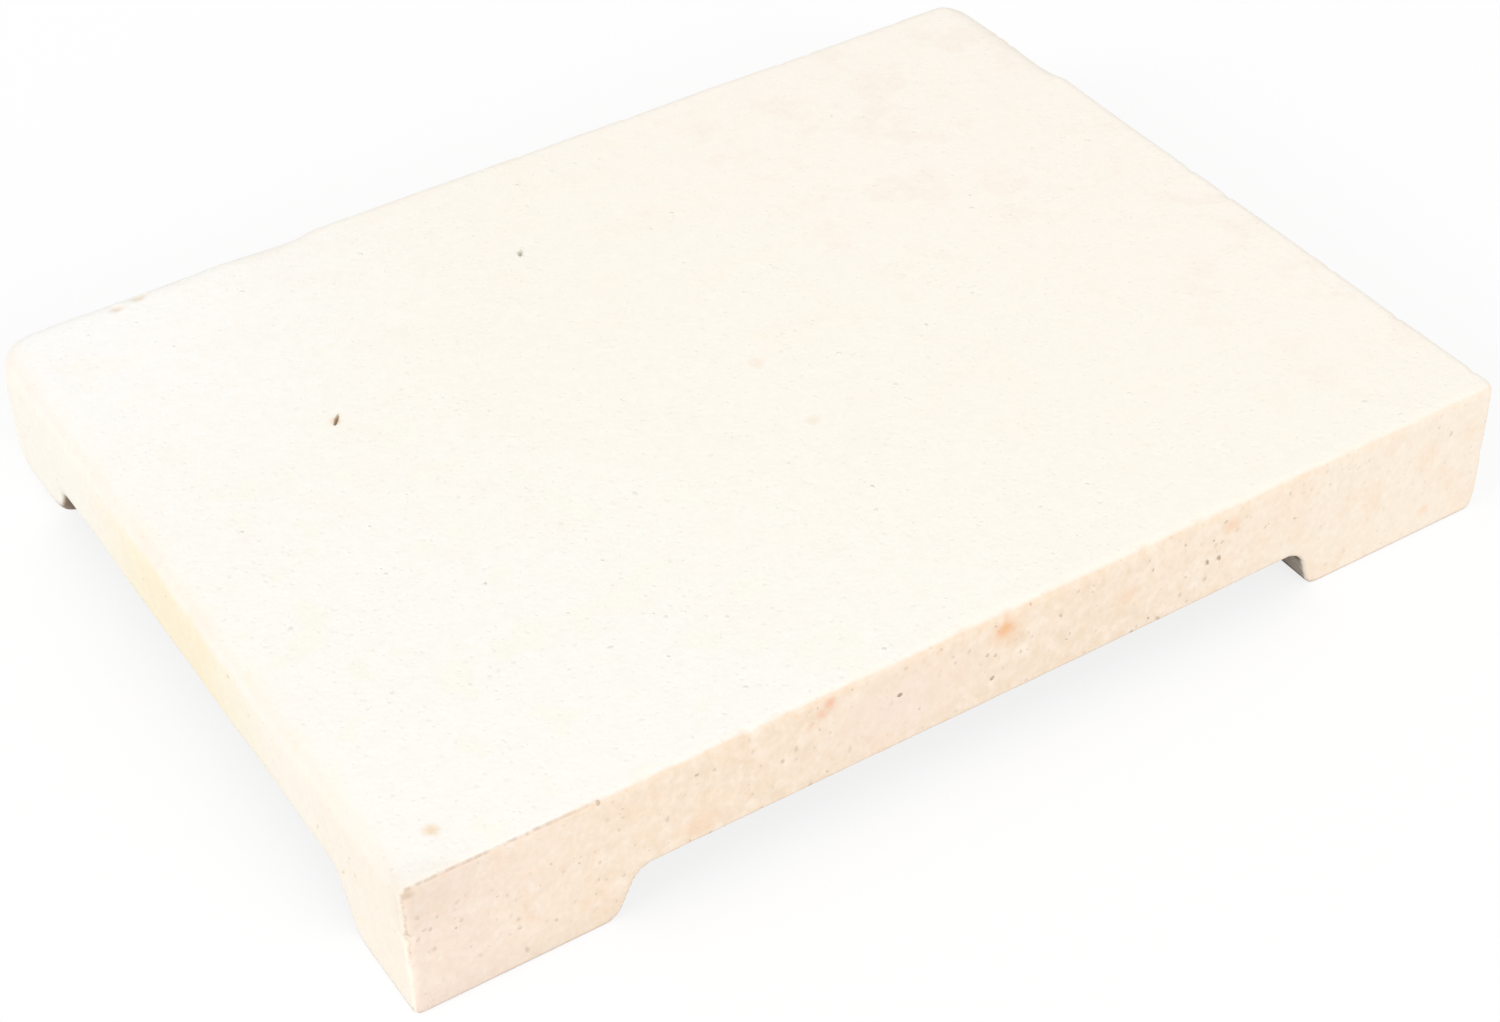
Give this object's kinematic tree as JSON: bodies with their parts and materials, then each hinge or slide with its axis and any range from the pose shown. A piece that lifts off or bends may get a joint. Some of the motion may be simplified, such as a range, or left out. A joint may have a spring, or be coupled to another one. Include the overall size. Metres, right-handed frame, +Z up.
{
  "type": "soldering block",
  "caption": "Rectangular fired-clay soldering block with a flat work face and short corner feet left by two wide, shallow channels that cross underneath.",
  "frame": {"origin": "middle of the rectangle that the feet stand on, level with the soles", "axes": "+X along the long side, +Y across it from the front face to the back face, +Z up to the work face"},
  "size_m": [0.2, 0.15, 0.0255],
  "materials": {
    "fired_clay": "matt unglazed fired clay, cream with fine pores and specks"
  },
  "bodies": {
    "root": {"soldering_block": "fired_clay"}
  },
  "joints": []
}
